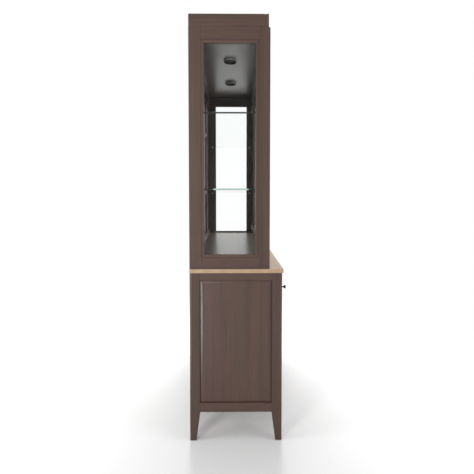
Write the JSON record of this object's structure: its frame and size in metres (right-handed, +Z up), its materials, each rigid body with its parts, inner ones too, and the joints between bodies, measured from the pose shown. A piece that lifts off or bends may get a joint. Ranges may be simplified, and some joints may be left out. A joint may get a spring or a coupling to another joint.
{
  "type": "buffet with hutch",
  "caption": "Wooden buffet on tapered legs with inset doors and drawers under a pale slab top, carrying a glazed display hutch with glass shelves, ceiling lamps and a plain crown.",
  "frame": {"origin": "on the floor, under the middle of the bounding box", "axes": "+Z up, -Y out of its front, towards the person who opens the doors, and +X to the right of that person, along its width"},
  "size_m": [1.392, 0.496, 2.112],
  "materials": {
    "stained_wood": "grey-brown stained oak under a satin lacquer",
    "interior_wood": "the same stain, glossier",
    "pale_oak": "pale lacquered oak, satin",
    "drawer_wood": "clear lacquered birch, satin",
    "hinge_steel": "satin",
    "knob_metal": "dark bronze, satin",
    "lamp_black": "matt black",
    "lamp_lens": "smoked and frosted",
    "driver_plastic": "moulded, matt",
    "glide_plastic": "moulded, matt",
    "pane_glass": "clear float glass, polished",
    "shelf_glass": "clear tempered glass with polished green edges"
  },
  "bodies": {
    "case": {"legs": "stained_wood", "glides": "glide_plastic", "side_rails": "stained_wood", "side_panels": "stained_wood", "buffet_face_frame": "stained_wood", "bottom_board": "interior_wood", "partition": "interior_wood", "buffet_back_rails": "stained_wood", "buffet_back_panel": "interior_wood", "slide_battens": "interior_wood", "slide_rails": "hinge_steel", "buffet_shelves": "interior_wood", "shelf_pins": "hinge_steel", "slab_top": "pale_oak", "tie_plates": "hinge_steel", "hutch_side_frames": "stained_wood", "side_glass": "pane_glass", "hutch_face_frame": "stained_wood", "hutch_back_frame": "stained_wood", "hutch_back_panels": "stained_wood", "hutch_decks": "interior_wood", "corner_beads": "stained_wood", "crown": "stained_wood", "glass_shelves": "shelf_glass", "shelf_brackets": "hinge_steel", "lamp_housings": "lamp_black", "lamp_lenses": "lamp_lens", "lamp_driver": "driver_plastic", "hinge_leaves": "hinge_steel", "door_catches": "hinge_steel"},
    "drawer_left": {"drawer_left_front": "stained_wood", "drawer_left_box": "drawer_wood", "drawer_left_runners": "hinge_steel", "drawer_left_knobs": "knob_metal"},
    "drawer_right": {"drawer_right_front": "stained_wood", "drawer_right_box": "drawer_wood", "drawer_right_runners": "hinge_steel", "drawer_right_knobs": "knob_metal"},
    "door_left_outer": {"door_left_outer_frame": "stained_wood", "door_left_outer_panel": "stained_wood", "door_left_outer_knob": "knob_metal", "door_left_outer_leaves": "hinge_steel"},
    "door_left_inner": {"door_left_inner_frame": "stained_wood", "door_left_inner_panel": "stained_wood", "door_left_inner_knob": "knob_metal", "door_left_inner_leaves": "hinge_steel"},
    "door_right_inner": {"door_right_inner_frame": "stained_wood", "door_right_inner_panel": "stained_wood", "door_right_inner_knob": "knob_metal", "door_right_inner_leaves": "hinge_steel"},
    "door_right_outer": {"door_right_outer_frame": "stained_wood", "door_right_outer_panel": "stained_wood", "door_right_outer_knob": "knob_metal", "door_right_outer_leaves": "hinge_steel"},
    "hutch_door_left": {"hutch_door_left_frame": "stained_wood", "hutch_door_left_glass": "pane_glass", "hutch_door_left_knob": "knob_metal", "hutch_door_left_leaves": "hinge_steel"},
    "hutch_door_right": {"hutch_door_right_frame": "stained_wood", "hutch_door_right_glass": "pane_glass", "hutch_door_right_knob": "knob_metal", "hutch_door_right_leaves": "hinge_steel"}
  },
  "joints": [
    {"name": "drawer_left_slide", "type": "slide", "parent": "case", "child": "drawer_left", "axis": [0, -1, 0], "range_m": [0, 0.265]},
    {"name": "drawer_right_slide", "type": "slide", "parent": "case", "child": "drawer_right", "axis": [0, -1, 0], "range_m": [0, 0.265]},
    {"name": "door_left_outer_hinge", "type": "hinge", "parent": "case", "child": "door_left_outer", "pos_m": [-0.6398, -0.212, 0.4285], "axis": [0, 0, -1], "range_deg": [0, 110]},
    {"name": "door_left_inner_hinge", "type": "hinge", "parent": "case", "child": "door_left_inner", "pos_m": [-0.0412, -0.212, 0.4285], "axis": [0, 0, 1], "range_deg": [0, 90]},
    {"name": "door_right_inner_hinge", "type": "hinge", "parent": "case", "child": "door_right_inner", "pos_m": [0.0412, -0.212, 0.4285], "axis": [0, 0, -1], "range_deg": [0, 90]},
    {"name": "door_right_outer_hinge", "type": "hinge", "parent": "case", "child": "door_right_outer", "pos_m": [0.6398, -0.212, 0.4285], "axis": [0, 0, 1], "range_deg": [0, 110]},
    {"name": "hutch_door_left_hinge", "type": "hinge", "parent": "case", "child": "hutch_door_left", "pos_m": [-0.6398, -0.149, 1.459], "axis": [0, 0, -1], "range_deg": [0, 110]},
    {"name": "hutch_door_right_hinge", "type": "hinge", "parent": "case", "child": "hutch_door_right", "pos_m": [0.6398, -0.149, 1.459], "axis": [0, 0, 1], "range_deg": [0, 110]}
  ]
}
